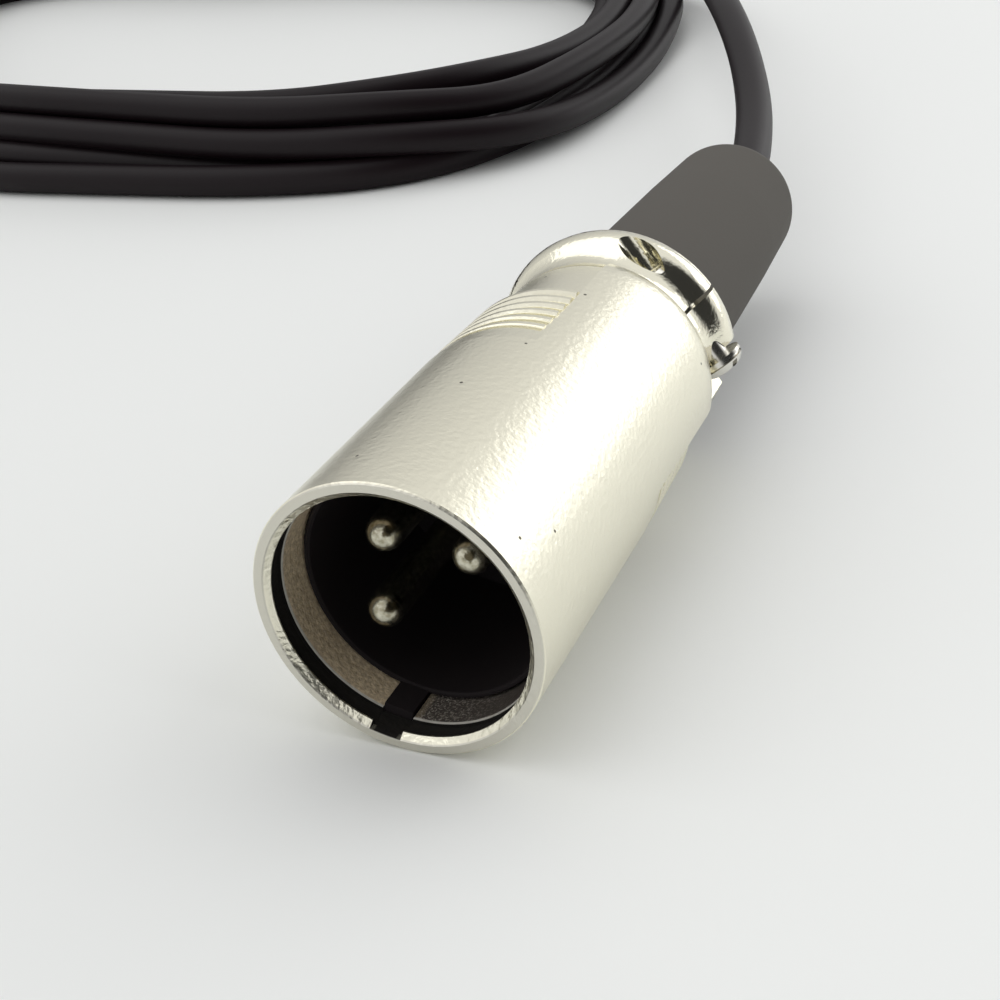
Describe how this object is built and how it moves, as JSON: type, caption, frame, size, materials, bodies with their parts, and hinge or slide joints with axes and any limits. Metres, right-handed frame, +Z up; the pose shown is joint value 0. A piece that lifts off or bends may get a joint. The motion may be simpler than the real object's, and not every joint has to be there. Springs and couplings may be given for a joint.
{
  "type": "three-pin audio plug to mini jack cable",
  "caption": "Coiled audio adapter cable with a three-pin metal plug, rubber boot and clamp collar at one end and a moulded mini jack plug at the other.",
  "frame": {"origin": "centre of the footprint of the plug and its boot, on the surface they lie on", "axes": "+Y from the plug's open mouth to its cable exit, +Z up, +X to the right when looking along +Y"},
  "size_m": [0.2173, 0.2245, 0.0211],
  "materials": {
    "shell_nickel": "satin nickel plate over a zinc casting",
    "insert_black": "moulded black plastic",
    "screw_steel": "nickel-plated steel",
    "pin_silver": "silver-plated brass, turned",
    "solder": "dull solder",
    "wire_red": "soft insulation",
    "wire_white": "soft insulation",
    "copper": "bare twisted strands",
    "boot_rubber": "matte moulded rubber",
    "cable_jacket": "soft black jacket with a low gloss",
    "jack_black": "soft moulded plastic",
    "jack_nickel": "bright nickel plate",
    "jack_insulator": "black insulator"
  },
  "bodies": {
    "root": {"shell": "shell_nickel", "insert": "insert_black", "insert_screw": "screw_steel", "clamp_half": "shell_nickel", "clamp_screw_a": "screw_steel", "clamp_screw_b": "screw_steel", "pin_1": "pin_silver", "pin_2": "pin_silver", "pin_3": "pin_silver", "solder_1": "solder", "solder_2": "solder", "solder_3": "solder", "wire_red": "wire_red", "wire_white": "wire_white", "shield_wire": "copper", "boot": "boot_rubber", "cable_end": "cable_jacket", "cable_lead": "cable_jacket", "cable_coil": "cable_jacket", "cable_tail": "cable_jacket", "jack_handle": "jack_black", "jack_sleeve": "jack_nickel", "jack_ring": "jack_nickel", "jack_tip": "jack_nickel", "jack_insulator_rear": "jack_insulator", "jack_insulator_front": "jack_insulator"}
  },
  "joints": []
}
